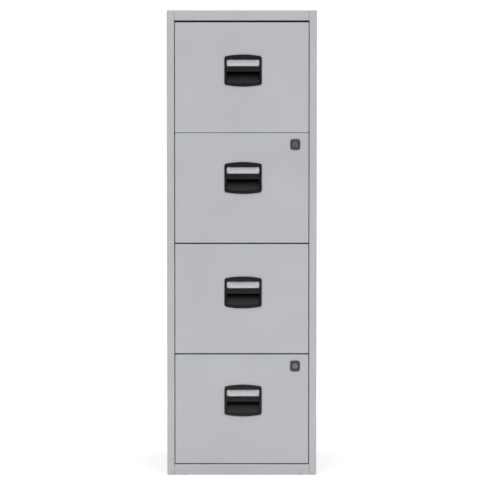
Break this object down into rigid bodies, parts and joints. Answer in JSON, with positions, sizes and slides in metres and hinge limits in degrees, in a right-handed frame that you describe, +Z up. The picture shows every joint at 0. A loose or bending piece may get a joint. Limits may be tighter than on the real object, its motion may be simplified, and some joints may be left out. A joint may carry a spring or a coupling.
{
  "type": "steel filing cabinet with suspension-file drawers",
  "caption": "Tall narrow sheet-steel filing cabinet: a stack of deep drawers on telescopic runners, moulded recessed handles with label windows, and key locks that hold the drawers in pairs.",
  "frame": {"origin": "on the floor, under the middle of the cabinet's overall box (width, and depth over the handles)", "axes": "+Z up, -Y out of the drawers' side, +X to the right as seen by someone who faces the drawers"},
  "size_m": [0.413, 0.4, 1.282],
  "materials": {
    "grey_paint": "light grey powder coat, fine texture, semi-matt",
    "black_plastic": "moulded, satin",
    "dark_grey_plastic": "moulded, satin",
    "zinc_plated_steel": "bright zinc plating, slightly cloudy",
    "nickel_plate": "dull nickel plating",
    "white_card": "plain card behind a clear window"
  },
  "bodies": {
    "cabinet": {"left_side_panel": "grey_paint", "right_side_panel": "grey_paint", "top_panel": "grey_paint", "base_panel": "grey_paint", "back_panel": "grey_paint", "front_left_upright": "zinc_plated_steel", "front_right_upright": "zinc_plated_steel", "rear_left_upright": "zinc_plated_steel", "rear_right_upright": "zinc_plated_steel", "foot_front_left": "black_plastic", "foot_front_right": "black_plastic", "foot_rear_left": "black_plastic", "foot_rear_right": "black_plastic", "drawer_1_left_outer_runner": "zinc_plated_steel", "drawer_1_right_outer_runner": "zinc_plated_steel", "drawer_2_left_outer_runner": "zinc_plated_steel", "drawer_2_right_outer_runner": "zinc_plated_steel", "drawer_3_left_outer_runner": "zinc_plated_steel", "drawer_3_right_outer_runner": "zinc_plated_steel", "drawer_4_left_outer_runner": "zinc_plated_steel", "drawer_4_right_outer_runner": "zinc_plated_steel"},
    "drawer_1": {"drawer_1_front": "grey_paint", "drawer_1_box": "grey_paint", "drawer_1_handle": "black_plastic", "drawer_1_label_card": "white_card", "drawer_1_left_inner_runner": "zinc_plated_steel", "drawer_1_right_inner_runner": "zinc_plated_steel"},
    "drawer_1_middle_runners": {"drawer_1_left_middle_runner": "zinc_plated_steel", "drawer_1_right_middle_runner": "zinc_plated_steel"},
    "drawer_2": {"drawer_2_front": "grey_paint", "drawer_2_box": "grey_paint", "drawer_2_handle": "black_plastic", "drawer_2_label_card": "white_card", "drawer_2_left_inner_runner": "zinc_plated_steel", "drawer_2_right_inner_runner": "zinc_plated_steel", "upper_lock_housing": "dark_grey_plastic"},
    "drawer_2_middle_runners": {"drawer_2_left_middle_runner": "zinc_plated_steel", "drawer_2_right_middle_runner": "zinc_plated_steel"},
    "upper_lock_barrel": {"upper_lock_barrel": "nickel_plate"},
    "upper_lock_bar": {"upper_lock_bar": "zinc_plated_steel"},
    "drawer_3": {"drawer_3_front": "grey_paint", "drawer_3_box": "grey_paint", "drawer_3_handle": "black_plastic", "drawer_3_label_card": "white_card", "drawer_3_left_inner_runner": "zinc_plated_steel", "drawer_3_right_inner_runner": "zinc_plated_steel"},
    "drawer_3_middle_runners": {"drawer_3_left_middle_runner": "zinc_plated_steel", "drawer_3_right_middle_runner": "zinc_plated_steel"},
    "drawer_4": {"drawer_4_front": "grey_paint", "drawer_4_box": "grey_paint", "drawer_4_handle": "black_plastic", "drawer_4_label_card": "white_card", "drawer_4_left_inner_runner": "zinc_plated_steel", "drawer_4_right_inner_runner": "zinc_plated_steel", "lower_lock_housing": "dark_grey_plastic"},
    "drawer_4_middle_runners": {"drawer_4_left_middle_runner": "zinc_plated_steel", "drawer_4_right_middle_runner": "zinc_plated_steel"},
    "lower_lock_barrel": {"lower_lock_barrel": "nickel_plate"},
    "lower_lock_bar": {"lower_lock_bar": "zinc_plated_steel"}
  },
  "joints": [
    {"name": "drawer_1_slide", "type": "slide", "parent": "cabinet", "child": "drawer_1", "axis": [0, -1, 0], "range_m": [0, 0.35]},
    {"name": "drawer_1_middle_slide", "type": "slide", "parent": "cabinet", "child": "drawer_1_middle_runners", "axis": [0, -1, 0], "range_m": [0, 0.175]},
    {"name": "drawer_2_slide", "type": "slide", "parent": "cabinet", "child": "drawer_2", "axis": [0, -1, 0], "range_m": [0, 0.35]},
    {"name": "drawer_2_middle_slide", "type": "slide", "parent": "cabinet", "child": "drawer_2_middle_runners", "axis": [0, -1, 0], "range_m": [0, 0.175]},
    {"name": "drawer_3_slide", "type": "slide", "parent": "cabinet", "child": "drawer_3", "axis": [0, -1, 0], "range_m": [0, 0.35]},
    {"name": "drawer_3_middle_slide", "type": "slide", "parent": "cabinet", "child": "drawer_3_middle_runners", "axis": [0, -1, 0], "range_m": [0, 0.175]},
    {"name": "drawer_4_slide", "type": "slide", "parent": "cabinet", "child": "drawer_4", "axis": [0, -1, 0], "range_m": [0, 0.35]},
    {"name": "drawer_4_middle_slide", "type": "slide", "parent": "cabinet", "child": "drawer_4_middle_runners", "axis": [0, -1, 0], "range_m": [0, 0.175]},
    {"name": "upper_lock_bar_lift", "type": "slide", "parent": "cabinet", "child": "upper_lock_bar", "axis": [0, 0, 1], "range_m": [0, 0.01131]},
    {"name": "upper_lock_turn", "type": "hinge", "parent": "drawer_2", "child": "upper_lock_barrel", "pos_m": [0.147, -0.195, 0.91405], "axis": [0, -1, 0], "range_deg": [0, 90]},
    {"name": "lower_lock_bar_lift", "type": "slide", "parent": "cabinet", "child": "lower_lock_bar", "axis": [0, 0, 1], "range_m": [0, 0.01131]},
    {"name": "lower_lock_turn", "type": "hinge", "parent": "drawer_4", "child": "lower_lock_barrel", "pos_m": [0.147, -0.195, 0.30265], "axis": [0, -1, 0], "range_deg": [0, 90]}
  ],
  "couplings": [
    {"joint": "drawer_1_middle_slide", "follows": "drawer_1_slide", "ratio": 0.5},
    {"joint": "drawer_2_middle_slide", "follows": "drawer_2_slide", "ratio": 0.5},
    {"joint": "drawer_3_middle_slide", "follows": "drawer_3_slide", "ratio": 0.5},
    {"joint": "drawer_4_middle_slide", "follows": "drawer_4_slide", "ratio": 0.5},
    {"joint": "upper_lock_turn", "follows": "upper_lock_bar_lift", "rad_per_m": 138.84},
    {"joint": "lower_lock_turn", "follows": "lower_lock_bar_lift", "rad_per_m": 138.84}
  ]
}
